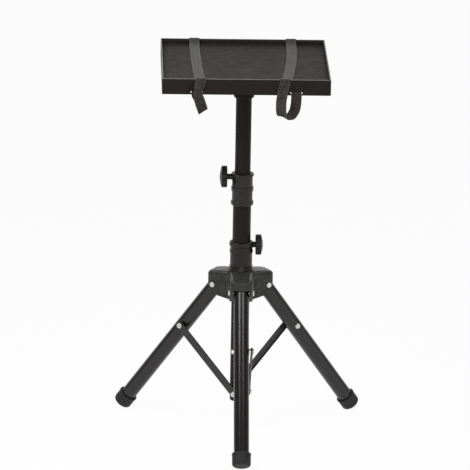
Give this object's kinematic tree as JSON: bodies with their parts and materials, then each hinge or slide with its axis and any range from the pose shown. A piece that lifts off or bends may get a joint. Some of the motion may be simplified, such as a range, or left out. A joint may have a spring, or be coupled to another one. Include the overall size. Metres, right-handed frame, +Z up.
{
  "type": "portable projector stand",
  "caption": "Portable tripod stand with a lipped projector tray and hook-and-loop straps on a telescoping post, folding legs with braces and clamp knobs.",
  "frame": {"origin": "on the floor, on the axis of the post", "axes": "+Z up along the post, -Y towards the front leg and the tray's front edge, +X to the right"},
  "size_m": [0.6038, 0.5497, 0.9347],
  "materials": {
    "tube": "satin black powder coat",
    "tray": "fine textured black powder coat",
    "brace": "satin black powder coat",
    "plastic": "moulded, fine grain",
    "knob": "moulded",
    "foot": "matt",
    "screw": "bright zinc plate",
    "strap": "hook-and-loop webbing"
  },
  "bodies": {
    "main_post": {"main_tube": "tube", "tube_plug": "plastic", "upper_collar": "plastic", "brace_screw_front": "screw", "brace_screw_left": "screw", "brace_screw_right": "screw"},
    "inner_post": {"inner_tube": "tube"},
    "tray": {"tray_socket": "tray", "tray_pan": "tray", "strap_left": "strap", "strap_right": "strap"},
    "hub": {"leg_hub": "plastic", "pivot_bolt_front": "screw", "pivot_bolt_left": "screw", "pivot_bolt_right": "screw"},
    "upper_knob": {"upper_knob": "knob"},
    "lower_knob": {"lower_knob": "knob"},
    "leg_front": {"leg_front": "tube", "foot_cap_front": "foot", "brace_nut_front": "screw"},
    "brace_front": {"brace_front": "brace", "brace_bolt_front": "screw"},
    "leg_left": {"leg_left": "tube", "foot_cap_left": "foot", "brace_nut_left": "screw"},
    "brace_left": {"brace_left": "brace", "brace_bolt_left": "screw"},
    "leg_right": {"leg_right": "tube", "foot_cap_right": "foot", "brace_nut_right": "screw"},
    "brace_right": {"brace_right": "brace", "brace_bolt_right": "screw"}
  },
  "joints": [
    {"name": "post_height", "type": "slide", "parent": "main_post", "child": "inner_post", "axis": [0, 0, 1], "range_m": [-0.181, 0.2]},
    {"name": "tray_turn", "type": "hinge", "parent": "inner_post", "child": "tray", "pos_m": [0, 0, 0.91913], "axis": [0, 0, 1], "continuous": true},
    {"name": "leg_fold", "type": "slide", "parent": "main_post", "child": "hub", "axis": [0, 0, 1], "range_m": [0, 0.08499]},
    {"name": "upper_knob_turn", "type": "hinge", "parent": "main_post", "child": "upper_knob", "pos_m": [-0.03, 0, 0.63913], "axis": [-1, 0, 0], "continuous": true},
    {"name": "lower_knob_turn", "type": "hinge", "parent": "hub", "child": "lower_knob", "pos_m": [0.03, 0, 0.46864], "axis": [1, 0, 0], "continuous": true},
    {"name": "leg_front_swing", "type": "hinge", "parent": "hub", "child": "leg_front", "pos_m": [0, -0.063, 0.36413], "axis": [1, 0, 0], "range_deg": [0, 37.01]},
    {"name": "brace_front_swing", "type": "hinge", "parent": "main_post", "child": "brace_front", "pos_m": [0.023, 0, 0.09357], "axis": [-1, 0, 0], "range_deg": [0, 28.44]},
    {"name": "leg_left_swing", "type": "hinge", "parent": "hub", "child": "leg_left", "pos_m": [-0.05456, 0.0315, 0.36413], "axis": [-0.5, -0.866, 0], "range_deg": [0, 37.01]},
    {"name": "brace_left_swing", "type": "hinge", "parent": "main_post", "child": "brace_left", "pos_m": [-0.0115, -0.01992, 0.09357], "axis": [0.5, 0.866, 0], "range_deg": [0, 28.44]},
    {"name": "leg_right_swing", "type": "hinge", "parent": "hub", "child": "leg_right", "pos_m": [0.05456, 0.0315, 0.36413], "axis": [-0.5, 0.866, 0], "range_deg": [0, 37.01]},
    {"name": "brace_right_swing", "type": "hinge", "parent": "main_post", "child": "brace_right", "pos_m": [-0.0115, 0.01992, 0.09357], "axis": [0.5, -0.866, 0], "range_deg": [0, 28.44]}
  ],
  "couplings": [
    {"joint": "leg_front_swing", "follows": "leg_fold", "rad_per_m": 7.5979},
    {"joint": "brace_front_swing", "follows": "leg_fold", "rad_per_m": 5.8384},
    {"joint": "leg_left_swing", "follows": "leg_fold", "rad_per_m": 7.5979},
    {"joint": "brace_left_swing", "follows": "leg_fold", "rad_per_m": 5.8384},
    {"joint": "leg_right_swing", "follows": "leg_fold", "rad_per_m": 7.5979},
    {"joint": "brace_right_swing", "follows": "leg_fold", "rad_per_m": 5.8384}
  ]
}
